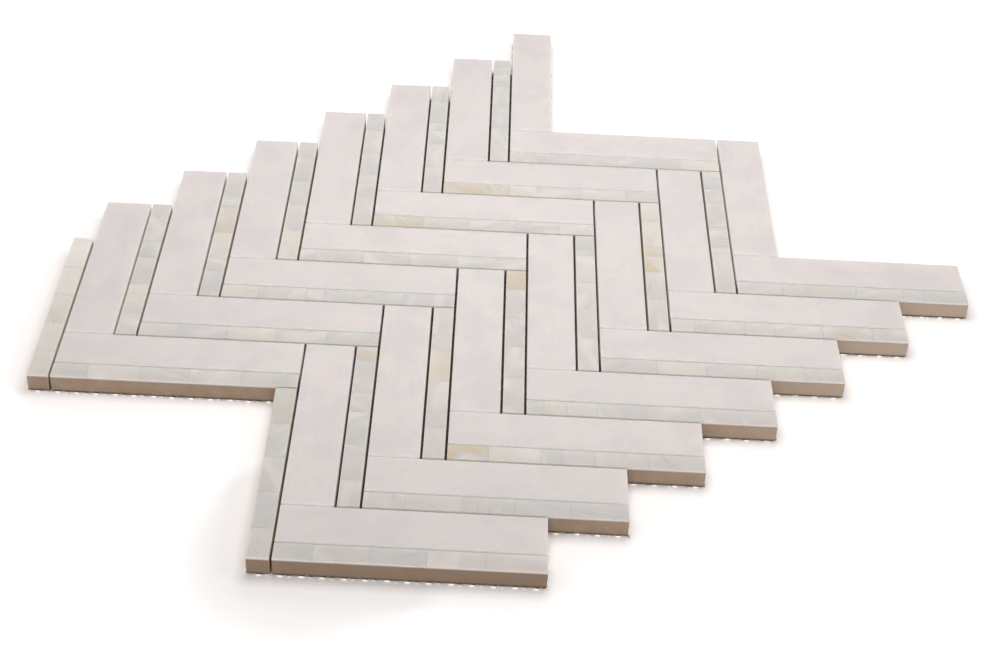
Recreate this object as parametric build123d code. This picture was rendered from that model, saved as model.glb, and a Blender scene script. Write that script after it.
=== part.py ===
from build123d import *
import math
import os

# Herringbone mosaic sheet of marble planks and mother-of-pearl strips.
#
# A sheet as it is sold for a wall: 28 planks of white marble, each laid beside a narrow
# strip of mother-of-pearl, in a square-cornered herringbone. The pieces lie face up with
# an open joint all round and are held together by a glass-fibre net glued to their backs.
# Each pearl strip is a ceramic bar with a row of shell chips bonded on top.
#
# X and Y lie in the sheet, Z is its thickness. The origin is under the middle of the
# sheet, on the face that goes into the adhesive. Planks that run along X are called
# across, and planks that run along Y are called upright. Two zigzag runs of planks lie
# side by side: left and right.

os.makedirs("parts", exist_ok=True)

# Planks and strips
plank_length = 100.0
marble_width = 20.0
strip_width = 8.5
tile_thickness = 8.0
joint = 1.0
steps = 7

# Edges
marble_arris = 0.5
pearl_bevel = 0.3
strip_corner = 0.2

# Shell chips on the ceramic bars
chip_thickness = 1.5
glue_line = 0.1
shortest_chip = 6.0
chip_cuts = (
    (14.5, 21.0, 20.5, 21.5, 22.5),
    (23.0, 20.5, 20.5, 20.0, 16.0),
    (16.0, 21.0, 20.0, 21.0, 22.0),
    (10.0, 21.0, 12.5, 20.5, 21.0, 15.0),
    (16.0, 20.5, 8.0, 12.5, 21.0, 22.0),
    (19.5, 11.0, 21.0, 20.5, 9.5, 18.5),
    (7.0, 9.0, 12.0, 20.5, 21.0, 30.5),
)

# Net
strand_width = 1.2
strand_thickness = 0.22
mesh_pitch = 5.5
net_overhang = 0.4

# Worked out from the sizes above
pair_pitch = marble_width + strip_width + 2 * joint
length_pitch = plank_length + joint
net_thickness = 2 * strand_thickness
bar_thickness = tile_thickness - chip_thickness
sheet_left = -strip_width - joint / 2
sheet_right = 2 * length_pitch + (steps - 1) * pair_pitch - joint / 2
sheet_front = joint / 2 - length_pitch
sheet_back = steps * pair_pitch + length_pitch - joint / 2
middle_x = (sheet_left + sheet_right) / 2
middle_y = (sheet_front + sheet_back) / 2
on_base = (Align.CENTER, Align.CENTER, Align.MIN)


class Spot:
    """The footprint of one piece in the sheet: near left corner and size along X and Y."""

    def __init__(self, name, x, y, wide, deep):
        self.name = name
        self.x = x - middle_x
        self.y = y - middle_y
        self.wide = wide
        self.deep = deep

    @property
    def upright(self):
        return self.deep > self.wide

    def place(self, shape, height):
        """Put a shape that is modelled upright about its own middle on this footprint."""
        turn = 0 if self.upright else 90
        middle = (self.x + self.wide / 2, self.y + self.deep / 2, height)
        return Pos(*middle) * Rot(0, 0, turn) * shape


def lay_out():
    """Footprints of the marble planks and of the pearl strips, run by run.

    A pair is a marble plank and a pearl strip side by side. In each run the across
    pairs climb one pair pitch to the right and back for each step, and the upright
    pairs stand in the corners that they leave. The right run is the left one moved by a
    length pitch to the right and to the front. An upright run starts with a pearl strip
    alone and ends with a marble plank alone.
    """
    marble = []
    pearl = []
    gap = joint / 2
    for side, shift in (("left", 0), ("right", length_pitch)):
        for step in range(steps):
            x = shift + step * pair_pitch + gap
            y = step * pair_pitch - shift + gap
            number = step + 1
            pearl.append(Spot(f"{side}_across_{number}", x, y, plank_length, strip_width))
            marble_y = y + strip_width + joint
            marble.append(Spot(f"{side}_across_{number}", x, marble_y, plank_length, marble_width))
            upright_y = y + pair_pitch
            marble.append(Spot(f"{side}_upright_{number}", x, upright_y, marble_width, plank_length))
            pearl_x = x - joint - strip_width
            pearl.append(Spot(f"{side}_upright_{number}", pearl_x, y, strip_width, plank_length))
    return marble, pearl


def marble_plank():
    """A sawn plank, upright, base at zero, with a rounded arris along each edge of its face.

    The arrises are run one edge at a time, so they meet in mitres at the sharp corners.
    """
    block = Box(marble_width, plank_length, tile_thickness, align=on_base)
    return fillet(block.edges().group_by(Axis.Z)[-1], marble_arris)


def ceramic_bar():
    """The bar that carries the shell chips, upright, base at zero.

    Its upper edges stay sharp, because the chips are ground flush with its sides.
    """
    block = Box(strip_width, plank_length, bar_thickness, align=on_base)
    lower = block.edges().group_by(Axis.Z)[0]
    return chamfer(block.edges().filter_by(Axis.Z) + lower, strip_corner)


def chip_ends(cuts):
    """How far the glue lines are from the start of a strip.

    The chips are laid one after another in the order of the cuts, over and over. A chip
    that would leave less than the shortest chip beside the end of the strip runs out to it.
    """
    ends = []
    position = 0.0
    number = 0
    while True:
        position += cuts[number % len(cuts)]
        number += 1
        if plank_length - position < shortest_chip:
            return ends
        ends.append(position)


def pearl_chips(cuts):
    """The row of shell chips of one strip, upright, base at zero.

    The row is ground flat and bevelled as one slab, so only its outer edges are eased,
    and the glue lines between the chips are plain saw cuts. It starts at its back end,
    which is the left end of a strip that lies across.
    """
    slab = Box(strip_width, plank_length, chip_thickness, align=on_base)
    slab = chamfer(slab.edges().filter_by(Axis.Z), strip_corner)
    slab = chamfer(slab.edges().group_by(Axis.Z)[-1], pearl_bevel)
    cutter = Box(2 * strip_width, glue_line, 3 * chip_thickness)
    slots = [Pos(0, plank_length / 2 - end, 0) * cutter for end in chip_ends(cuts)]
    return slab - slots


def covered(spots, direction, offset):
    """The stretches of a slanting net strand that lie under the planks.

    The strand's line makes 45 degrees with X, rising for direction 1 and falling for
    direction -1, at a sideways offset from the middle of the sheet. Each footprint,
    widened by the net's overhang, cuts a stretch out of it, and stretches that are no
    further apart than a joint become one. Distances are measured along the line from the
    point nearest to the middle.
    """
    slope = math.sqrt(0.5)
    bridge = joint / slope
    start_x = -direction * offset * slope
    start_y = offset * slope
    stretches = []
    for spot in spots:
        low_x = (spot.x - net_overhang - start_x) / slope
        high_x = (spot.x + spot.wide + net_overhang - start_x) / slope
        y_ends = (
            (spot.y - net_overhang - start_y) / (direction * slope),
            (spot.y + spot.deep + net_overhang - start_y) / (direction * slope),
        )
        low = max(low_x, min(y_ends))
        high = min(high_x, max(y_ends))
        if high > low:
            stretches.append((low, high))
    merged = []
    for low, high in sorted(stretches):
        if merged and low <= merged[-1][1] + bridge:
            merged[-1][1] = max(merged[-1][1], high)
        else:
            merged.append([low, high])
    return merged


def net_strands(spots, direction, height):
    """All strands of one direction: flat rovings a mesh pitch apart, cut at the outline."""
    slope = math.sqrt(0.5)
    reach = math.hypot(sheet_right - sheet_left, sheet_back - sheet_front) / 2
    rows = math.ceil(reach / mesh_pitch)
    strands = []
    for row in range(-rows, rows + 1):
        offset = row * mesh_pitch
        for low, high in covered(spots, direction, offset):
            if high - low < strand_width:
                continue
            along = (low + high) / 2
            x = (along - direction * offset) * slope
            y = (direction * along + offset) * slope
            strand = Box(high - low, strand_width, strand_thickness)
            middle = Pos(x, y, height + strand_thickness / 2)
            strands.append(middle * Rot(0, 0, 45 * direction) * strand)
    return Compound(children=strands)


def save(shape, name):
    export_step(shape, f"parts/{name}.step")


marble_spots, pearl_spots = lay_out()

plank = marble_plank()
for spot in marble_spots:
    save(spot.place(plank, net_thickness), f"marble_{spot.name}")

chip_rows = [pearl_chips(cuts) for cuts in chip_cuts]
for number, spot in enumerate(pearl_spots):
    row = chip_rows[number % len(chip_rows)]
    save(spot.place(row, net_thickness + bar_thickness), f"pearl_{spot.name}")

bar = ceramic_bar()
for name, upright in (("across", False), ("upright", True)):
    bars = [spot.place(bar, net_thickness) for spot in pearl_spots if spot.upright == upright]
    save(Compound(children=bars), f"ceramic_bars_{name}")

all_spots = marble_spots + pearl_spots
save(net_strands(all_spots, 1, 0), "net_strands_rising")
save(net_strands(all_spots, -1, strand_thickness), "net_strands_falling")
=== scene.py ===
import math

import bpy
import numpy as np
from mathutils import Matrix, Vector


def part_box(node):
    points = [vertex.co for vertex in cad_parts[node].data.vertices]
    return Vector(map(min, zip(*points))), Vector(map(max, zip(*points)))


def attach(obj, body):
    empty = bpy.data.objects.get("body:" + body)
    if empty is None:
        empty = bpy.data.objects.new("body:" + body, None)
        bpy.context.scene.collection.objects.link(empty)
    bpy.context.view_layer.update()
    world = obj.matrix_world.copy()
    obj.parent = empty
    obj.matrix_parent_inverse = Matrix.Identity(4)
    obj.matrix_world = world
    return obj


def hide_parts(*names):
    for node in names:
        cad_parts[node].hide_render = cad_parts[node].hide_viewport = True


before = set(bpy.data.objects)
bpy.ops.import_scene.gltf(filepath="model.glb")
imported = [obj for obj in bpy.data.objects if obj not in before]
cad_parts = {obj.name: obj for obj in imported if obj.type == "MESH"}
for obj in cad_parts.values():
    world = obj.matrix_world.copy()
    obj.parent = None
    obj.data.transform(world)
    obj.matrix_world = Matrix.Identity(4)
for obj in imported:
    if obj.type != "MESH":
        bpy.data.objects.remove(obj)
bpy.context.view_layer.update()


# Marble planks
# Each plank is one sawn piece of fine-grained white marble, honed on its face, with a
# rounded arris along each edge. The grain runs along the plank, so each plank carries
# its own cut of the stone.

planks = sorted(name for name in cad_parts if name.startswith("marble_"))
stone_white = (0.745, 0.681, 0.660, 1)
stone_cloud = (0.690, 0.637, 0.622, 1)
stone_grey = (0.520, 0.490, 0.475, 1)
stone_bright = (0.820, 0.770, 0.755, 1)
stone_sawn_painted_light = (0.940, 0.895, 0.865, 1)
stone_painted_deep_shade = (0.500, 0.395, 0.320, 1)
sawn_light_from, sawn_light_full = 0.0001, 0.0004
deep_shade_from, deep_shade_full = 0.0040, 0.0080
deep_shade_share = 0.4
wear_reach = 0.0011
stone_relief = 0.00002
stone_glow_depth = 0.0050


def feed(tree, socket, value):
    """Give a socket a value, or the output that feeds it."""
    if isinstance(value, bpy.types.NodeSocket):
        tree.links.new(value, socket)
    else:
        socket.default_value = value


def noise(tree, place, scale, detail=2.0, roughness=0.5, distortion=0.0):
    """Cloudy grey values about a half, with features of about 1 / scale metres."""
    node = tree.nodes.new("ShaderNodeTexNoise")
    feed(tree, node.inputs["Vector"], place)
    node.inputs["Scale"].default_value = scale
    node.inputs["Detail"].default_value = detail
    node.inputs["Roughness"].default_value = roughness
    node.inputs["Distortion"].default_value = distortion
    return node.outputs["Fac"]


def calc(tree, operation, first, second=0.0, clamp=False):
    """One step of arithmetic on two values."""
    node = tree.nodes.new("ShaderNodeMath")
    node.operation = operation
    node.use_clamp = clamp
    feed(tree, node.inputs[0], first)
    feed(tree, node.inputs[1], second)
    return node.outputs[0]


def weighted(tree, first, first_share, second, second_share):
    """Two values, each times its share, added up."""
    first_part = calc(tree, "MULTIPLY", first, first_share)
    return calc(tree, "ADD", first_part, calc(tree, "MULTIPLY", second, second_share))


def place_calc(tree, operation, first, second):
    """One step of arithmetic on two places."""
    node = tree.nodes.new("ShaderNodeVectorMath")
    node.operation = operation
    feed(tree, node.inputs[0], first)
    feed(tree, node.inputs[1], second)
    return node.outputs[0]


def ease(tree, value, low, high, start=0.0, end=1.0):
    """A smooth step of a value from start at low to end at high."""
    node = tree.nodes.new("ShaderNodeMapRange")
    node.interpolation_type = "SMOOTHSTEP"
    feed(tree, node.inputs["Value"], value)
    feed(tree, node.inputs["From Min"], low)
    feed(tree, node.inputs["From Max"], high)
    feed(tree, node.inputs["To Min"], start)
    feed(tree, node.inputs["To Max"], end)
    return node.outputs["Result"]


def blend(tree, share, first, second):
    """Two colours mixed by a share.

    A Mix node has sockets for each kind of value. Its colours are inputs 6 and 7 and output 2.
    """
    node = tree.nodes.new("ShaderNodeMix")
    node.data_type = "RGBA"
    feed(tree, node.inputs[0], share)
    feed(tree, node.inputs[6], first)
    feed(tree, node.inputs[7], second)
    return node.outputs[2]


def new_group(name, takes, gives):
    """An empty shader node group with the named inputs and outputs."""
    tree = bpy.data.node_groups.new(name, "ShaderNodeTree")
    for label, kind in takes:
        tree.interface.new_socket(label, in_out="INPUT", socket_type=kind)
    for label, kind in gives:
        tree.interface.new_socket(label, in_out="OUTPUT", socket_type=kind)
    start = tree.nodes.new("NodeGroupInput")
    finish = tree.nodes.new("NodeGroupOutput")
    return tree, start.outputs, finish.inputs


def use_group(tree, group, **values):
    """Place a node group in a material, with its inputs given by name."""
    node = tree.nodes.new("ShaderNodeGroup")
    node.node_tree = group
    for label, value in values.items():
        feed(tree, node.inputs[label.replace("_", " ")], value)
    return node.outputs


def new_material(name):
    """A material with its own Principled shader and Object coordinates."""
    material = bpy.data.materials.new(name)
    material.use_nodes = True
    tree = material.node_tree
    place = tree.nodes.new("ShaderNodeTexCoord").outputs["Object"]
    return material, tree, tree.nodes["Principled BSDF"], place


def raise_surface(tree, shader, height, distance):
    """Feed a height in the range 0 to 1 to the shader as a bump so many metres deep."""
    bump = tree.nodes.new("ShaderNodeBump")
    bump.inputs["Strength"].default_value = 1.0
    bump.inputs["Distance"].default_value = distance
    feed(tree, bump.inputs["Height"], height)
    feed(tree, shader.inputs["Normal"], bump.outputs["Normal"])


def plank_frame_group():
    """Object coordinates measured from a piece's middle, with X along its length."""
    tree, takes, gives = new_group(
        "plank frame",
        [("Place", "NodeSocketVector"), ("Middle", "NodeSocketVector"), ("Turn", "NodeSocketFloat")],
        [("Own place", "NodeSocketVector")],
    )
    moved = place_calc(tree, "SUBTRACT", takes["Place"], takes["Middle"])
    turn = tree.nodes.new("ShaderNodeVectorRotate")
    turn.rotation_type = "Z_AXIS"
    feed(tree, turn.inputs["Vector"], moved)
    feed(tree, turn.inputs["Angle"], takes["Turn"])
    feed(tree, gives["Own place"], turn.outputs["Vector"])
    return tree


def edge_wear_group():
    """A mask of the small bruises along a plank's edges, and the depth below its face.

    The distance to the nearest side is half the size less how far out the place is. Within
    the reach of the edge, and only where a fine cloud allows it, the mask rises to 1.
    """
    tree, takes, gives = new_group(
        "edge wear",
        [
            ("Own place", "NodeSocketVector"),
            ("Half size", "NodeSocketVector"),
            ("Reach", "NodeSocketFloat"),
            ("Cloud place", "NodeSocketVector"),
        ],
        [("Mask", "NodeSocketFloat"), ("Depth", "NodeSocketFloat")],
    )
    out = place_calc(tree, "ABSOLUTE", takes["Own place"], (0, 0, 0))
    room = place_calc(tree, "SUBTRACT", takes["Half size"], out)
    split = tree.nodes.new("ShaderNodeSeparateXYZ")
    feed(tree, split.inputs[0], room)
    side = calc(tree, "MINIMUM", split.outputs["X"], split.outputs["Y"])
    nearness = calc(tree, "MAXIMUM", side, split.outputs["Z"])
    rim = ease(tree, nearness, takes["Reach"], 0.0)
    broken = ease(tree, noise(tree, takes["Cloud place"], 420.0, 3.0, 0.6), 0.56, 0.66)
    feed(tree, gives["Mask"], calc(tree, "MULTIPLY", rim, broken))
    below = tree.nodes.new("ShaderNodeSeparateXYZ")
    feed(tree, below.inputs[0], place_calc(tree, "SUBTRACT", takes["Half size"], takes["Own place"]))
    feed(tree, gives["Depth"], below.outputs["Z"])
    return tree


def marble_group():
    """White marble: soft clouds, a fine sugary grain, drawn-out streaks and hair veins.

    A vein is where a distorted cloud passes through its middle value, thinned out by a
    coarser cloud so that only some stretches show.
    """
    tree, takes, gives = new_group(
        "white marble",
        [("Own place", "NodeSocketVector"), ("Cut", "NodeSocketVector"), ("Grey", "NodeSocketFloat")],
        [("Color", "NodeSocketColor"), ("Roughness", "NodeSocketFloat"), ("Height", "NodeSocketFloat")],
    )
    place = place_calc(tree, "ADD", takes["Own place"], takes["Cut"])
    drawn = place_calc(tree, "MULTIPLY", place, (0.22, 1.6, 1.0))
    cloud = noise(tree, place, 55.0, 4.0, 0.55, 0.4)
    streak = noise(tree, drawn, 150.0, 4.0, 0.6, 0.8)
    grain = noise(tree, place, 1500.0, 2.0, 0.6)
    mottle = noise(tree, place, 520.0, 3.0, 0.6)
    crystal = noise(tree, place, 3600.0, 1.0, 0.5)
    fold = noise(tree, drawn, 48.0, 5.0, 0.55, 1.2)
    away = calc(tree, "ABSOLUTE", calc(tree, "SUBTRACT", fold, 0.5))
    line = ease(tree, away, 0.016, 0.0)
    shown = ease(tree, noise(tree, place, 26.0, 2.0), 0.52, 0.66)
    greyness = calc(tree, "MULTIPLY", takes["Grey"], 0.5)
    vein = calc(tree, "MULTIPLY", calc(tree, "MULTIPLY", line, shown), greyness)

    color = blend(tree, ease(tree, cloud, 0.40, 0.66), stone_white, stone_cloud)
    soft_grey = calc(tree, "MULTIPLY", ease(tree, streak, 0.52, 0.78), greyness)
    color = blend(tree, soft_grey, color, stone_grey)
    color = blend(tree, vein, color, stone_grey)
    color = blend(tree, ease(tree, mottle, 0.50, 0.72, 0.0, 0.16), color, stone_grey)
    # Painted glints: tiny bright specks painted on the grain as sparkle.
    painted_glint = weighted(tree, grain, 0.07, crystal, 0.05)
    color = blend(tree, calc(tree, "SUBTRACT", painted_glint, 0.03, clamp=True), color, stone_bright)
    feed(tree, gives["Color"], color)
    feed(tree, gives["Roughness"], ease(tree, grain, 0.2, 0.8, 0.34, 0.48))
    feed(tree, gives["Height"], weighted(tree, grain, 0.6, crystal, 0.4))
    return tree


plank_frame = plank_frame_group()
edge_wear = edge_wear_group()
white_marble = marble_group()
marble_random = np.random.default_rng(28)


def marble_material(name):
    """The marble of one plank: its own cut of the stone, its own shade and greyness."""
    low, high = (np.array(corner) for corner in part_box(name))
    size = high - low
    upright = size[1] > size[0]
    half = np.array([max(size[:2]), min(size[:2]), size[2]]) / 2
    cut = marble_random.uniform(-4, 4, 3)
    grey = marble_random.uniform(0.10, 0.42)
    shade = marble_random.uniform(0.0, 0.28)

    middle = tuple((low + high) / 2)
    turn = math.pi / 2 if upright else 0.0

    material, tree, shader, place = new_material(name + "_stone")
    own = use_group(tree, plank_frame, Place=place, Middle=middle, Turn=turn)["Own place"]
    stone = use_group(tree, white_marble, Own_place=own, Cut=tuple(cut), Grey=grey)
    wear = use_group(
        tree,
        edge_wear,
        Own_place=own,
        Half_size=tuple(half),
        Reach=wear_reach,
        Cloud_place=place_calc(tree, "ADD", own, tuple(cut)),
    )
    # Painted light: the sawn sides are paler, and they are painted paler still as painted light, so the
    # joints read pale.
    sawn_wall_light = ease(tree, wear["Depth"], sawn_light_from, sawn_light_full)
    # Painted shade: from 4 mm below the face the sides are painted browner, as painted shade deep in
    # the joints.
    painted_deep_shade = ease(tree, wear["Depth"], deep_shade_from, deep_shade_full, 0.0, deep_shade_share)
    color = blend(tree, shade, stone["Color"], stone_cloud)
    color = blend(tree, sawn_wall_light, color, stone_sawn_painted_light)
    color = blend(tree, painted_deep_shade, color, stone_painted_deep_shade)
    color = blend(tree, calc(tree, "MULTIPLY", wear["Mask"], 0.5), color, stone_bright)
    feed(tree, shader.inputs["Base Color"], color)
    rough = calc(tree, "ADD", stone["Roughness"], calc(tree, "MULTIPLY", wear["Mask"], 0.2))
    feed(tree, shader.inputs["Roughness"], rough)
    height = calc(tree, "SUBTRACT", stone["Height"], calc(tree, "MULTIPLY", wear["Mask"], 2.0))
    raise_surface(tree, shader, height, stone_relief)
    shader.inputs["IOR"].default_value = 1.49
    shader.inputs["Subsurface Weight"].default_value = 1.0
    shader.inputs["Subsurface Radius"].default_value = (1.0, 0.80, 0.68)
    shader.inputs["Subsurface Scale"].default_value = stone_glow_depth
    return material


def dress(node, material):
    """Give a CAD piece its material."""
    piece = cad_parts[node]
    piece.data.materials.clear()
    piece.data.materials.append(material)


for plank in planks:
    dress(plank, marble_material(plank))


# Ceramic bars
# A bar of tan unglazed ceramic carries each row of shell chips and makes the strip as
# thick as the marble. The bars are sawn from a pressed slab, which leaves fine
# marks along their sides. Their feet are painted darker as painted shade, with a little of the net's
# glue.

bar_tan = (0.328, 0.229, 0.158, 1)
bar_dark = (0.235, 0.161, 0.108, 1)
bar_light = (0.374, 0.275, 0.199, 1)
bar_painted_light = (0.466, 0.364, 0.281, 1)
bar_foot_painted_shade = (0.120, 0.080, 0.055, 1)
bar_wall_painted_light = (0.760, 0.630, 0.490, 1)
glue_white = (0.700, 0.655, 0.600, 1)
right_light_from, right_light_full = 0.030, 0.170
front_shade_from, front_shade_full = -0.190, -0.210
foot_top, foot_full = 0.0010, 0.0003
joint_wall_painted_light = 0.85
bar_relief = 0.00006


def fired_body_group():
    """Tan ceramic: a blotchy body with dark and light grains and marks of the saw.

    The bars along the sheet's front edge are painted darker, as painted shade, and those
    at the right are painted paler, as painted light.
    """
    tree, takes, gives = new_group(
        "fired body",
        [("Place", "NodeSocketVector"), ("Saw place", "NodeSocketVector"), ("Foot", "NodeSocketFloat")],
        [("Color", "NodeSocketColor"), ("Roughness", "NodeSocketFloat"), ("Height", "NodeSocketFloat")],
    )
    blotch = noise(tree, takes["Place"], 160.0, 3.0, 0.6)
    speck = noise(tree, takes["Place"], 2600.0, 2.0, 0.6)
    saw = noise(tree, takes["Saw place"], 900.0, 2.0, 0.6)
    color = blend(tree, ease(tree, blotch, 0.32, 0.70), bar_tan, bar_light)
    color = blend(tree, ease(tree, saw, 0.50, 0.80, 0.0, 0.35), color, bar_dark)
    color = blend(tree, ease(tree, speck, 0.60, 0.74, 0.0, 0.7), color, bar_dark)
    color = blend(tree, ease(tree, speck, 0.36, 0.26, 0.0, 0.6), color, bar_light)
    split = tree.nodes.new("ShaderNodeSeparateXYZ")
    feed(tree, split.inputs[0], takes["Place"])
    # Painted light: bars toward the right are painted paler.
    color = blend(tree, ease(tree, split.outputs["X"], right_light_from, right_light_full), color, bar_painted_light)
    # Painted shade: bars along the front edge are painted darker.
    front_painted_shade = ease(tree, split.outputs["Y"], front_shade_from, front_shade_full, 0.0, 0.65)
    color = blend(tree, front_painted_shade, color, bar_dark)
    above = calc(tree, "SUBTRACT", split.outputs["Z"], takes["Foot"])
    # Painted shade: the lowest millimetre of each bar, where it sits on the net, is painted dark.
    color = blend(tree, ease(tree, above, foot_top, foot_full, 0.0, 0.7), color, bar_foot_painted_shade)
    smear = ease(tree, noise(tree, takes["Place"], 330.0, 3.0, 0.7), 0.60, 0.68)
    glued = calc(tree, "MULTIPLY", ease(tree, above, foot_top, 0.0), smear)
    color = blend(tree, calc(tree, "MULTIPLY", glued, 0.5), color, glue_white)
    feed(tree, gives["Color"], color)
    feed(tree, gives["Roughness"], ease(tree, speck, 0.2, 0.8, 0.70, 0.88))
    feed(tree, gives["Height"], weighted(tree, saw, 0.6, speck, 0.4))
    return tree


fired_body = fired_body_group()


def side_facing(tree, share):
    """A share on the sides that face along X, and nothing on the other faces."""
    normal = tree.nodes.new("ShaderNodeSeparateXYZ")
    feed(tree, normal.inputs[0], tree.nodes.new("ShaderNodeNewGeometry").outputs["Normal"])
    return ease(tree, calc(tree, "ABSOLUTE", normal.outputs["X"]), 0.5, 0.9, 0.0, share)


def bar_material(node, along, dust_and_wall_light):
    """The ceramic of the bars that run one way; the saw marks are drawn out along them.

    The long sides of the upright bars, which face the joints along X, are painted paler as
    painted light.
    """
    material, tree, shader, place = new_material(node + "_ceramic")
    drawn = place_calc(tree, "MULTIPLY", place, along)
    body = use_group(tree, fired_body, Place=place, Saw_place=drawn, Foot=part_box(node)[0].z)
    # Painted light: the sides that face a joint along X are painted paler.
    dust_and_painted_light = blend(tree, side_facing(tree, dust_and_wall_light), body["Color"], bar_wall_painted_light)
    feed(tree, shader.inputs["Base Color"], dust_and_painted_light)
    feed(tree, shader.inputs["Roughness"], body["Roughness"])
    raise_surface(tree, shader, body["Height"], bar_relief)
    return material


dress("ceramic_bars_across", bar_material("ceramic_bars_across", (0.06, 1.0, 1.0), 0.0))
dress("ceramic_bars_upright", bar_material("ceramic_bars_upright", (1.0, 0.06, 1.0), joint_wall_painted_light))


# Mother-of-pearl chips
# Each strip's face is a row of natural shell chips, cut square, glued end to end on the
# ceramic bar and ground flat together. Their colour goes from pale grey-green to pinkish
# cream, a few are honey coloured, and each shows the cloudy growth bands of its own shell.

pearl_rows = sorted(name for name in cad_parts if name.startswith("pearl_"))
pearl_arris = 0.00035
butt_arris = 0.00004
glue_depth = 0.00002
bevel_clear = 0.002
arris_steps = 4
sharpest_smooth = 40
ground_unevenness = 0.00003
grain_lean = 0.6
turned_share = 0.3
edge_from, edge_full = 0.0002, 0.0005
bark_from, bark_full = 0.0008, 0.0013
shell_relief = 0.000008
shell_glow_depth = 0.0016
honey_chips = {
    ("right_across_3", 0): 1.0,
    ("right_upright_6", 3): 1.0,
    ("right_upright_6", 2): 0.6,
    ("left_across_6", 0): 0.7,
    ("left_across_6", 1): 0.8,
    ("right_upright_4", 0): 0.7,
    ("left_across_5", 0): 0.5,
    ("right_across_6", 4): 0.5,
    ("right_across_7", 2): 0.45,
    ("right_upright_2", 0): 0.4,
    ("right_upright_1", 0): 0.4,
    ("left_upright_3", 2): 0.35,
    ("right_upright_3", 2): 0.35,
}
shell_wall_painted_light = (0.860, 0.815, 0.775, 1)
creamy_strips = ("left_upright_1",)
creamy_from = 0.85
pearl_random = np.random.default_rng(5)


def chip_spans(node):
    """Where the chips of a strip start and end along it, read off the CAD solids.

    The corners of the solids fall on a few values along the strip. Two values that are
    no more than a glue line apart, away from the bevelled ends, are a butt joint.
    """
    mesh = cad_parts[node].data
    points = np.empty(len(mesh.vertices) * 3)
    mesh.vertices.foreach_get("co", points)
    points = points.reshape(-1, 3)
    low, high = points.min(axis=0), points.max(axis=0)
    axis = 0 if high[0] - low[0] > high[1] - low[1] else 1
    values = np.unique(np.round(points[:, axis], 5))
    inner = values[(values > low[axis] + bevel_clear) & (values < high[axis] - bevel_clear)]
    marks = np.concatenate([[low[axis]], inner, [high[axis]]]).reshape(-1, 2)
    return axis, low, high, marks


def arris_profile(radius):
    """Distances in from an edge and drops from the face, along a quarter round."""
    turn = np.linspace(0.0, math.pi / 2, arris_steps + 1)
    return radius * (1 - np.sin(turn)), radius * (1 - np.cos(turn))


def chip_points(width, start, end, height, radius_start, radius_end):
    """A chip as a closed profile carried along its length, as stations by profile by XYZ.

    The profile is the section across the strip: a flat foot, upright sides and a face whose
    two long edges are quarter rounds. Along the chip the face drops to a quarter round at
    each end as well, and each point takes the lower of the two heights.
    """
    inward, drop = arris_profile(pearl_arris)
    half = width / 2
    right_x = half - inward[::-1]
    right_z = height - drop[::-1]
    across = np.concatenate([[-half, half], right_x, -right_x[::-1]])
    up = np.concatenate([[0, 0], right_z, right_z[::-1]])
    in_start, drop_start = arris_profile(radius_start)
    in_end, drop_end = arris_profile(radius_end)
    along = np.concatenate([start + in_start[::-1], end - in_end])
    lid = height - np.concatenate([drop_start[::-1], drop_end])
    points = np.empty((len(along), len(across), 3))
    points[:, :, 0] = along[:, None]
    points[:, :, 1] = across[None, :]
    points[:, :, 2] = np.minimum(up[None, :], lid[:, None])
    return points


def tube_faces(stations, sides, first):
    """The quads between neighbouring stations and the two end caps of a tube."""
    ring = np.arange(sides)
    rows = np.arange(stations - 1)[:, None] * sides
    here = rows + ring
    beside = rows + np.roll(ring, -1)
    quads = np.stack([here, beside, beside + sides, here + sides], axis=-1).reshape(-1, 4) + first
    caps = [ring[::-1] + first, ring + (stations - 1) * sides + first]
    return quads.tolist() + [cap.tolist() for cap in caps]


def make_piece(name, points, faces, materials, sharp_from=None):
    """A mesh object from points and faces, smooth but for edges sharper than an angle."""
    mesh = bpy.data.meshes.new(name)
    mesh.from_pydata(points, [], faces)
    for material in materials:
        mesh.materials.append(material)
    mesh.shade_smooth()
    if sharp_from is not None:
        mesh.set_sharp_from_angle(angle=math.radians(sharp_from))
    piece = bpy.data.objects.new(name, mesh)
    bpy.context.scene.collection.objects.link(piece)
    return piece


def write_attribute(piece, name, kind, values):
    """Store one value for each point of a piece, for its material to read."""
    attribute = piece.data.attributes.new(name, kind, "POINT")
    field = "value" if kind == "FLOAT" else "vector"
    attribute.data.foreach_set(field, np.ascontiguousarray(values, dtype=np.float32).ravel())


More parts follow.
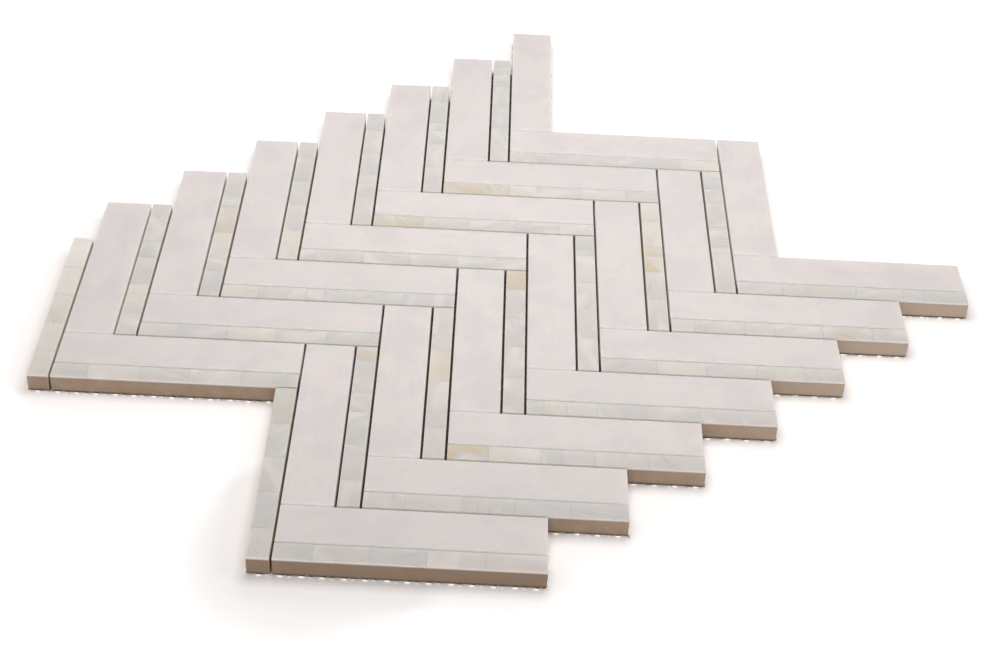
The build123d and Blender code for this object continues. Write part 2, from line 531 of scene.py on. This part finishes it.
def pearl_group():
    """Nacre: a pale body in the chip's own tone, with growth bands, clouds and bright flashes.

    Down its sides the shell first turns paler, at the ground edge, and then brown, at the
    bark that was the outside of the shell.
    """
    tree, takes, gives = new_group(
        "nacre",
        [
            ("Grain place", "NodeSocketVector"),
            ("Tone", "NodeSocketFloat"),
            ("Honey", "NodeSocketFloat"),
            ("Depth", "NodeSocketFloat"),
        ],
        [("Color", "NodeSocketColor"), ("Roughness", "NodeSocketFloat"), ("Height", "NodeSocketFloat")],
    )
    place = takes["Grain place"]
    drawn = place_calc(tree, "MULTIPLY", place, (0.40, 1.5, 1.0))
    cloud = noise(tree, place, 85.0, 1.0, 0.4, 0.1)
    hue = noise(tree, place, 80.0, 1.0, 0.5, 0.2)
    band = noise(tree, drawn, 120.0, 1.0, 0.4, 0.1)
    painted_flash_place = place_calc(tree, "MULTIPLY", place, (0.45, 1.3, 1.0))
    painted_flash = ease(tree, noise(tree, painted_flash_place, 120.0, 0.0, 0.4, 0.2), 0.54, 0.76)

    green = (0.606, 0.577, 0.536, 1)
    blue = (0.603, 0.573, 0.555, 1)
    pink = (0.655, 0.592, 0.572, 1)
    cream = (0.690, 0.637, 0.575, 1)
    pale_cream = (0.800, 0.745, 0.680, 1)
    white = (0.780, 0.732, 0.695, 1)
    grey = (0.545, 0.508, 0.488, 1)
    honey = (0.622, 0.515, 0.362, 1)
    edge = (0.800, 0.760, 0.725, 1)
    bark = (0.400, 0.285, 0.200, 1)
    color = blend(tree, ease(tree, takes["Tone"], 0.00, 0.34), blue, green)
    color = blend(tree, ease(tree, takes["Tone"], 0.34, 0.67), color, pink)
    color = blend(tree, ease(tree, takes["Tone"], 0.67, 1.00), color, cream)
    color = blend(tree, ease(tree, takes["Tone"], 1.00, 1.25), color, pale_cream)
    color = blend(tree, ease(tree, hue, 0.38, 0.74, 0.0, 0.45), color, cream)
    color = blend(tree, ease(tree, cloud, 0.40, 0.80, 0.0, 0.28), color, grey)
    color = blend(tree, ease(tree, band, 0.45, 0.85, 0.0, 0.20), color, white)
    # Painted highlights: the bright flashes of the nacre are painted in white.
    color = blend(tree, calc(tree, "MULTIPLY", painted_flash, 0.45), color, white)
    stain = calc(tree, "MULTIPLY", takes["Honey"], ease(tree, cloud, 0.30, 0.62))
    color = blend(tree, stain, color, honey)
    color = blend(tree, ease(tree, takes["Depth"], edge_from, edge_full, 0.0, 0.8), color, edge)
    color = blend(tree, ease(tree, takes["Depth"], bark_from, bark_full, 0.0, 0.9), color, bark)
    feed(tree, gives["Color"], color)
    feed(tree, gives["Roughness"], ease(tree, band, 0.2, 0.8, 0.26, 0.34))
    feed(tree, gives["Height"], band)
    return tree


nacre = pearl_group()


def attribute(tree, name, socket):
    """One of a piece's own attributes, as an output in a material."""
    node = tree.nodes.new("ShaderNodeAttribute")
    node.attribute_type = "GEOMETRY"
    node.attribute_name = name
    return node.outputs[socket]


def pearl_material():
    """The shell of all the chips; each chip's tone, stain and grain are its attributes.

    The sides that face a joint along X are painted paler as painted light.
    """
    material, tree, shader, place = new_material("mother_of_pearl")
    shell = use_group(
        tree,
        nacre,
        Grain_place=attribute(tree, "grain", "Vector"),
        Tone=attribute(tree, "tone", "Fac"),
        Honey=attribute(tree, "honey", "Fac"),
        Depth=attribute(tree, "depth", "Fac"),
    )
    # Painted light: the sides that face a joint along X are painted paler.
    dust_and_painted_light = blend(tree, side_facing(tree, joint_wall_painted_light), shell["Color"], shell_wall_painted_light)
    feed(tree, shader.inputs["Base Color"], dust_and_painted_light)
    feed(tree, shader.inputs["Roughness"], shell["Roughness"])
    raise_surface(tree, shader, shell["Height"], shell_relief)
    shader.inputs["IOR"].default_value = 1.53
    shader.inputs["Coat Weight"].default_value = 0.4
    shader.inputs["Coat Roughness"].default_value = 0.12
    shader.inputs["Subsurface Weight"].default_value = 0.6
    shader.inputs["Subsurface Radius"].default_value = (1.0, 0.75, 0.55)
    shader.inputs["Subsurface Scale"].default_value = shell_glow_depth
    return material


def glue_material():
    """The clear resin that fills the butt joints, greyed by grinding dust."""
    material, tree, shader, place = new_material("chip_glue")
    dust_and_wall_light = ease(tree, noise(tree, place, 800.0, 3.0, 0.6), 0.3, 0.7)
    clear, dust_and_painted_light = (0.58, 0.55, 0.52, 1), (0.66, 0.63, 0.60, 1)
    feed(tree, shader.inputs["Base Color"], blend(tree, dust_and_wall_light, clear, dust_and_painted_light))
    feed(tree, shader.inputs["Roughness"], ease(tree, dust_and_wall_light, 0.0, 1.0, 0.35, 0.6))
    return material


shell_finish = pearl_material()
glue_finish = glue_material()


def glue_box(width, start, end, height):
    """The block of glue in one butt joint, as two stations of a square profile."""
    half = width / 2
    across = np.array([-half, half, half, -half])
    up = np.array([0, 0, height, height])
    points = np.empty((2, 4, 3))
    points[0, :, 0] = start
    points[1, :, 0] = end
    points[:, :, 1] = across
    points[:, :, 2] = up
    return points.reshape(-1, 3)


def turned_grain(chip):
    """A chip's points in its own block of shell: turned by a small angle, and moved off.

    Some of the chips are cut across the grain, so they are turned by a quarter more.
    """
    turn = pearl_random.uniform(-grain_lean, grain_lean)
    turn += math.pi / 2 if pearl_random.random() < turned_share else 0.0
    offset = pearl_random.uniform(-5, 5, 3)
    cos, sin = math.cos(turn), math.sin(turn)
    lean = np.array([[cos, -sin, 0], [sin, cos, 0], [0, 0, 1]])
    return chip @ lean.T + offset


def pearl_row(node):
    """One strip's row of chips with the glue in its butt joints, in place of the CAD row."""
    axis, low, high, marks = chip_spans(node)
    strip = node.removeprefix("pearl_")
    width = high[1 - axis] - low[1 - axis]
    centre = (high[1 - axis] + low[1 - axis]) / 2
    thick = high[2] - low[2]
    points, faces, grain, tone, honey, slots = [], [], [], [], [], []
    count = 0
    for number, (start, end) in enumerate(marks):
        first, last = number == 0, number == len(marks) - 1
        radius_start = pearl_arris if first else butt_arris
        radius_end = pearl_arris if last else butt_arris
        height = thick - pearl_random.uniform(0.0, ground_unevenness)
        chip = chip_points(width, start, end, height, radius_start, radius_end)
        stations, sides = chip.shape[:2]
        chip = chip.reshape(-1, 3)
        grain.append(turned_grain(chip))
        shade = pearl_random.uniform(0.0, 1.0) ** 1.2
        if strip in creamy_strips:
            shade = creamy_from + shade / 2
        tone.append(np.full(len(chip), shade))
        from_start = number if axis == 0 else len(marks) - 1 - number
        honey.append(np.full(len(chip), honey_chips.get((strip, from_start), 0.0)))
        chip_faces = tube_faces(stations, sides, count)
        slots += [0] * len(chip_faces)
        faces += chip_faces
        points.append(chip)
        count += len(chip)
        if not last:
            gap_end = marks[number + 1][0]
            fill = glue_box(width - 2 * glue_depth, end, gap_end, thick - glue_depth)
            points.append(fill)
            grain.append(fill)
            tone.append(np.zeros(8))
            honey.append(np.zeros(8))
            fill_faces = tube_faces(2, 4, count)
            slots += [1] * len(fill_faces)
            faces += fill_faces
            count += 8
    points = np.concatenate(points)
    placed = np.empty_like(points)
    placed[:, axis] = points[:, 0]
    placed[:, 1 - axis] = centre + (points[:, 1] if axis == 0 else -points[:, 1])
    placed[:, 2] = low[2] + points[:, 2]
    finishes = [shell_finish, glue_finish]
    piece = make_piece("chips_" + strip, placed, faces, finishes, sharpest_smooth)
    piece.data.polygons.foreach_set("material_index", slots)
    write_attribute(piece, "grain", "FLOAT_VECTOR", np.concatenate(grain))
    write_attribute(piece, "tone", "FLOAT", np.concatenate(tone))
    write_attribute(piece, "honey", "FLOAT", np.concatenate(honey))
    write_attribute(piece, "depth", "FLOAT", thick - points[:, 2])
    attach(piece, "root")
    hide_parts(node)


for row in pearl_rows:
    pearl_row(row)


# Net
# A net of flat white glass-fibre strands is glued across the backs, at 45 degrees to the
# planks, and trimmed just outside the stepped outline with shears. The strands pass over
# and under each other, and their cut ends fray and curl up a little.

glass_white = (0.940, 0.920, 0.890, 1)
glass_grey = (0.820, 0.790, 0.750, 1)
resin_cream = (0.860, 0.830, 0.770, 1)
glue_brown = (0.260, 0.175, 0.120, 1)
tuft_painted_glow = (0.480, 0.440, 0.380, 1)
falling_painted_glow_share = 0.2
strand_sides = 6
stations_per_mesh = 4
strand_relief = 0.00005
usual_breadth = 0.94
pressed_breadth = 0.08
breadth_unevenness = 0.03
lane_unevenness = 0.00006
net_overhang = 0.0004
longest_spare = 0.0006
closer_cut = 0.0004
cut_reach = 0.0022
fray_reach = 0.0009
fray_stations = 4
fray_bulk = 1.6
fray_breadth = 0.7
curl_most = 0.3
lean_most = 0.3
net_random = np.random.default_rng(17)


def strand_spans(node, direction):
    """The strands of a CAD net node: sideways offset, start and end along the strand.

    The corners of each strand are turned by 45 degrees, so that one value runs along the
    strands and one across them. Corners of one strand share a row, and in a row the values
    along come in pairs of start and end.
    """
    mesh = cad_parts[node].data
    points = np.empty(len(mesh.vertices) * 3)
    mesh.vertices.foreach_get("co", points)
    points = points.reshape(-1, 3)
    along = (points[:, 0] + direction * points[:, 1]) * math.sqrt(0.5)
    aside = (points[:, 1] - direction * points[:, 0]) * math.sqrt(0.5)
    levels = np.unique(np.round(aside, 5))
    rows = levels.reshape(-1, 2)
    width = float(np.mean(rows[:, 1] - rows[:, 0]))
    spans = []
    for left, right in rows:
        inside = (aside > left - 0.0001) & (aside < right + 0.0001)
        ends = np.unique(np.round(along[inside], 5)).reshape(-1, 2)
        spans += [((left + right) / 2, start, end) for start, end in ends]
    return np.array(spans), width


def cut_slants(spans, direction):
    """How far each strand end runs on per distance aside, so that it is cut along the outline.

    An end lies on the edge of a piece's footprint, let out by the overhang. Where that edge
    runs along X, a rising strand loses the distance aside, and where it runs along Y, it
    gains it. With a falling strand it is the other way round.
    """
    boxes = np.array([[tuple(corner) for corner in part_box(name)] for name in planks + pearl_rows])
    let_out = np.array([-net_overhang, net_overhang])
    x_edges = (boxes[:, :, 0] + let_out).ravel()
    y_edges = (boxes[:, :, 1] + let_out).ravel()
    offset, ends = spans[:, :1], spans[:, 1:]
    x = (ends - direction * offset) * math.sqrt(0.5)
    y = (direction * ends + offset) * math.sqrt(0.5)
    x_miss = np.abs(x[..., None] - x_edges).min(axis=-1)
    y_miss = np.abs(y[..., None] - y_edges).min(axis=-1)
    return np.where(y_miss < x_miss, -direction, direction)


def strand_points(offset, start, end, pitch, width, thick, side, slants, front_first):
    """A strand as a flat oval profile carried along a wavy line.

    Along the strand the line rises and falls as a cosine that turns over at each crossing,
    a mesh pitch apart. The profile is widest at a crossing, where the strand is pressed flat.
    Past its trimmed ends the strand runs on a little, curls up, leans to one side and frays
    to a thicker and wider tuft, whose end is slanted along the outline. The shears went
    closer to the planks along the back.
    """
    step = pitch / stations_per_mesh
    spare = net_random.uniform(0.0, longest_spare, 2)
    spare[1 if front_first else 0] -= closer_cut
    low, high = start - spare[0], end + spare[1]
    tuft = np.append(np.linspace(0.0, fray_reach, fray_stations), cut_reach)
    clear_of_tuft = cut_reach + fray_reach / (fray_stations - 1)
    inner = np.arange(math.ceil(low / step) + 0.5, math.floor(high / step)) * step + step / 2
    inner = inner[(inner > low + clear_of_tuft) & (inner < high - clear_of_tuft)]
    s = np.unique(np.round(np.concatenate([low + tuft, inner, high - tuft]), 6))
    fray = np.clip(1 - np.minimum(s - low, high - s) / fray_reach, 0, 1)
    wave = np.cos(math.pi * s / pitch) * side
    past = np.maximum(np.maximum(start - s, s - end), 0.0)
    curl = net_random.uniform(0.0, curl_most, 2)
    lean = net_random.uniform(-lean_most, lean_most, 2)
    near_start = s < (start + end) / 2
    rise = past * np.where(near_start, curl[0], curl[1])
    drift = past * np.where(near_start, lean[0], lean[1])
    bulk = thick * (1 + fray_bulk * fray)
    middle = np.maximum(thick + wave * thick / 2 + rise, bulk / 2)
    aside = offset + drift + net_random.normal(0.0, lane_unevenness, len(s))
    pressed = pressed_breadth * np.cos(2 * math.pi * s / pitch)
    uneven = net_random.normal(0.0, breadth_unevenness, len(s))
    breadth = width * (usual_breadth + pressed + uneven)
    turn = np.linspace(0, 2 * math.pi, strand_sides, endpoint=False) + math.pi / strand_sides
    points = np.empty((len(s), strand_sides, 3))
    breadth = breadth * (1 + fray_breadth * fray)
    across = breadth[:, None] / 2 * np.cos(turn)[None, :]
    near_first = np.clip(1 - (s - low) / cut_reach, 0, 1)
    near_last = np.clip(1 - (high - s) / cut_reach, 0, 1)
    slant = slants[0] * near_first + slants[1] * near_last
    points[:, :, 0] = s[:, None] + slant[:, None] * across
    points[:, :, 1] = aside[:, None] + across
    points[:, :, 2] = middle[:, None] + bulk[:, None] / 2 * np.sin(turn)[None, :]
    soaked = np.where(np.sin(turn) > 0.1, 1.0, 0.0)[None, :] * (1 - fray)[:, None]
    return points, soaked, np.broadcast_to(fray[:, None], soaked.shape)


def net_piece(name, node, direction, pitch):
    """All the strands of one direction as one mesh.

    Strands side by side take turns in passing over and under, and where a rising strand
    is up, the falling one is down. The cut ends of the rising strands are given a painted
    glow, and those of the falling ones only a little of it.
    """
    spans, width = strand_spans(node, direction)
    low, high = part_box(node)
    thick = high.z - low.z
    rising = direction > 0
    points, faces, fibre, glued, painted_tuft_glow = [], [], [], [], []
    count = 0
    for (offset, start, end), slants in zip(spans, cut_slants(spans, direction)):
        side = direction * (1 if round(offset / pitch) % 2 == 0 else -1)
        strand, soaked, fray = strand_points(
            offset, start, end, pitch, width, thick, side, slants, rising
        )
        glued.append(soaked.ravel())
        painted_tuft_glow.append(fray.ravel() * (1.0 if rising else falling_painted_glow_share))
        stations, sides = strand.shape[:2]
        faces += tube_faces(stations, sides, count)
        around = np.tile(np.arange(sides) / sides, stations)
        strand = strand.reshape(-1, 3)
        fibre.append(np.stack([strand[:, 0], strand[:, 1] - offset, around], axis=-1))
        points.append(strand)
        count += len(strand)
    points = np.concatenate(points)
    placed = points.copy()
    placed[:, 0] = (points[:, 0] - direction * points[:, 1]) * math.sqrt(0.5)
    placed[:, 1] = (direction * points[:, 0] + points[:, 1]) * math.sqrt(0.5)
    piece = make_piece(name, placed, faces, [net_finish])
    write_attribute(piece, "fibre", "FLOAT_VECTOR", np.concatenate(fibre))
    write_attribute(piece, "glued", "FLOAT", np.concatenate(glued))
    write_attribute(piece, "tuft", "FLOAT", np.concatenate(painted_tuft_glow))
    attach(piece, "root")
    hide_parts(node)


def net_material():
    """Resin-coated glass roving: white, with fine threads along it and glossy patches.

    Its upper side is soaked in the brown glue that holds the pieces. The cut ends are
    given a painted glow, as painted light, so that they read white.
    """
    material, tree, shader, place = new_material("glass_fibre")
    thread_place = place_calc(tree, "MULTIPLY", attribute(tree, "fibre", "Vector"), (0.08, 1.0, 0.0))
    thread = noise(tree, thread_place, 9000.0, 2.0, 0.6)
    resin = noise(tree, place, 260.0, 2.0, 0.5)
    color = blend(tree, ease(tree, thread, 0.35, 0.7), glass_white, glass_grey)
    color = blend(tree, ease(tree, resin, 0.5, 0.7, 0.0, 0.5), color, resin_cream)
    soaked = calc(tree, "MULTIPLY", attribute(tree, "glued", "Fac"), 0.85)
    color = blend(tree, soaked, color, glue_brown)
    # Painted light: the cut ends glow, though they are no lamp.
    painted_glow = blend(tree, attribute(tree, "tuft", "Fac"), (0, 0, 0, 1), tuft_painted_glow)
    feed(tree, shader.inputs["Base Color"], color)
    feed(tree, shader.inputs["Emission Color"], painted_glow)
    shader.inputs["Emission Strength"].default_value = 1.0
    feed(tree, shader.inputs["Roughness"], ease(tree, resin, 0.4, 0.65, 0.55, 0.25))
    raise_surface(tree, shader, thread, strand_relief)
    return material


net_finish = net_material()
rising_spans = strand_spans("net_strands_rising", 1)[0]
net_rows = np.unique(np.round(rising_spans[:, 0], 5))
mesh_pitch = float(np.median(np.diff(net_rows)))
net_piece("net_rising", "net_strands_rising", 1, mesh_pitch)
net_piece("net_falling", "net_strands_falling", -1, mesh_pitch)


# Floor
# The sheet lies on white studio paper. The paper burns out to white away from the sheet,
# and a thin painted shadow is left along its edges and in its joints, where the paper is
# also painted dark brown as painted shade.

floor_reach = 4.0
shadow_reach = 0.060
paper_white = (0.955, 0.920, 0.905, 1)
paper_cream = (0.935, 0.900, 0.885, 1)
paper_painted_joint_shade = (0.230, 0.145, 0.095, 1)
paper_glow = (1.000, 0.960, 0.950, 1)
painted_shadow_place = (-0.080, -0.200, 0.0)
painted_shadow_full, painted_shadow_reach = 0.030, 0.062
painted_shadow_share = 0.36


def paper_material():
    """White paper whose glow, for the camera, grows with how open the place is to the room.

    In the joints, where almost nothing of the room is in view, there is no glow at all, and
    just outside the sheet, where half of it is, there is a part of it. Beside the front
    left corner of the sheet a painted shadow keeps the paper's upper side a little dimmer.
    """
    material, tree, shader, place = new_material("studio_paper")
    fibre = noise(tree, place, 60.0, 2.0)
    occlusion = tree.nodes.new("ShaderNodeAmbientOcclusion")
    occlusion.inputs["Distance"].default_value = shadow_reach
    view = occlusion.outputs["AO"]
    paper = blend(tree, fibre, paper_cream, paper_white)
    # Painted shade: where little of the room is in view, in the joints, the paper is painted dark
    # brown.
    open_share = ease(tree, view, 0.05, 0.30)
    feed(tree, shader.inputs["Base Color"], blend(tree, open_share, paper_painted_joint_shade, paper))
    shader.inputs["Roughness"].default_value = 0.9
    shader.inputs["Specular IOR Level"].default_value = 0.1
    glow = tree.nodes.new("ShaderNodeEmission")
    glow.inputs["Color"].default_value = paper_glow
    ray = tree.nodes.new("ShaderNodeLightPath").outputs
    seen = calc(tree, "ADD", ray["Is Camera Ray"], ray["Is Glossy Ray"], clamp=True)
    near = ease(tree, view, 0.40, 0.60, 0.0, 0.10)
    away = ease(tree, view, 0.86, 0.97, 0.0, 0.07)
    open_paper = ease(tree, view, 0.97, 1.00, 0.0, 0.34)
    share = calc(tree, "ADD", calc(tree, "ADD", near, away), open_paper)
    # Painted shadow: beside the front left corner of the sheet the glow is taken down.
    apart = tree.nodes.new("ShaderNodeVectorMath")
    apart.operation = "DISTANCE"
    feed(tree, apart.inputs[0], place)
    feed(tree, apart.inputs[1], painted_shadow_place)
    painted_shadow = ease(tree, apart.outputs["Value"], painted_shadow_full, painted_shadow_reach, painted_shadow_share, 0.0)
    underside = tree.nodes.new("ShaderNodeNewGeometry").outputs["Backfacing"]
    painted_shadow = calc(tree, "MULTIPLY", painted_shadow, calc(tree, "SUBTRACT", 1.0, underside))
    share = calc(tree, "SUBTRACT", share, painted_shadow, clamp=True)
    feed(tree, glow.inputs["Strength"], calc(tree, "MULTIPLY", seen, share))
    both = tree.nodes.new("ShaderNodeAddShader")
    feed(tree, both.inputs[0], shader.outputs[0])
    feed(tree, both.inputs[1], glow.outputs[0])
    feed(tree, tree.nodes["Material Output"].inputs["Surface"], both.outputs[0])
    return material


paper_corners = floor_reach * np.array([(-1, -1, 0), (1, -1, 0), (1, 1, 0), (-1, 1, 0)])
paper = make_piece("floor", paper_corners, [[0, 1, 2, 3]], [paper_material()])


# Light
# The studio is white all round, and brighter on the camera's side, so the walls that face
# the camera are pale and the joints that run away from it stay dark. A small soft box
# hangs over the sheet, and the far wall is what the polished faces mirror.

room_light = 0.448
front_light = 0.60
front_heading = (-0.10, -0.79, 0.60)
far_wall, ceiling = 1.15, 0.15


def pick(tree, switch, first, second):
    """The first value where the switch is 0 and the second where it is 1.

    A Mix node's plain values are inputs 2 and 3 and output 0.
    """
    node = tree.nodes.new("ShaderNodeMix")
    feed(tree, node.inputs[0], switch)
    feed(tree, node.inputs[2], first)
    feed(tree, node.inputs[3], second)
    return node.outputs[0]


lamp = bpy.data.lights.new("top_light", "AREA")
lamp.shape = "SQUARE"
lamp.size = 0.3
lamp.energy = 1.05
soft_lamp = bpy.data.objects.new("top_light", lamp)
soft_lamp.location = (0.014, 0.034, 0.42)
soft_lamp.visible_glossy = False
bpy.context.scene.collection.objects.link(soft_lamp)

world = bpy.data.worlds.new("white_room")
bpy.context.scene.world = world
world.use_nodes = True
room = world.node_tree
ray = room.nodes.new("ShaderNodeLightPath").outputs
heading = room.nodes.new("ShaderNodeTexCoord").outputs["Generated"]
height = room.nodes.new("ShaderNodeSeparateXYZ")
feed(room, height.inputs[0], heading)
mirrored = ease(room, height.outputs["Z"], 0.42, 0.74, far_wall, ceiling)
aim = room.nodes.new("ShaderNodeVectorMath")
aim.operation = "DOT_PRODUCT"
feed(room, aim.inputs[0], heading)
feed(room, aim.inputs[1], front_heading)
soft_box = ease(room, aim.outputs["Value"], 0.45, 0.95, room_light, room_light + front_light)
lit = pick(room, ray["Is Glossy Ray"], soft_box, mirrored)
room.nodes["Background"].inputs["Color"].default_value = (1, 1, 1, 1)
feed(room, room.nodes["Background"].inputs["Strength"], pick(room, ray["Is Camera Ray"], lit, 1.0))


# Camera
# A long lens looks down on the sheet from the front at about 36 degrees. It is rolled by
# a little, and the frame is shifted to where the sheet lies in it.

photo_width = 1000
focal_pixels = 1981.0
sensor_width = 36.0
camera_data = bpy.data.cameras.new("camera")
camera_data.sensor_width = sensor_width
camera_data.lens = focal_pixels / photo_width * sensor_width
camera_data.shift_x = 0.0515
camera_data.shift_y = -0.0019
camera = bpy.data.objects.new("camera", camera_data)
camera.location = (-0.01645, -0.73475, 0.49864)
camera.rotation_euler = tuple(math.radians(angle) for angle in (54.09, -1.78, 2.28))
bpy.context.scene.collection.objects.link(camera)
bpy.context.scene.camera = camera

bpy.context.scene.view_settings.view_transform = "Standard"
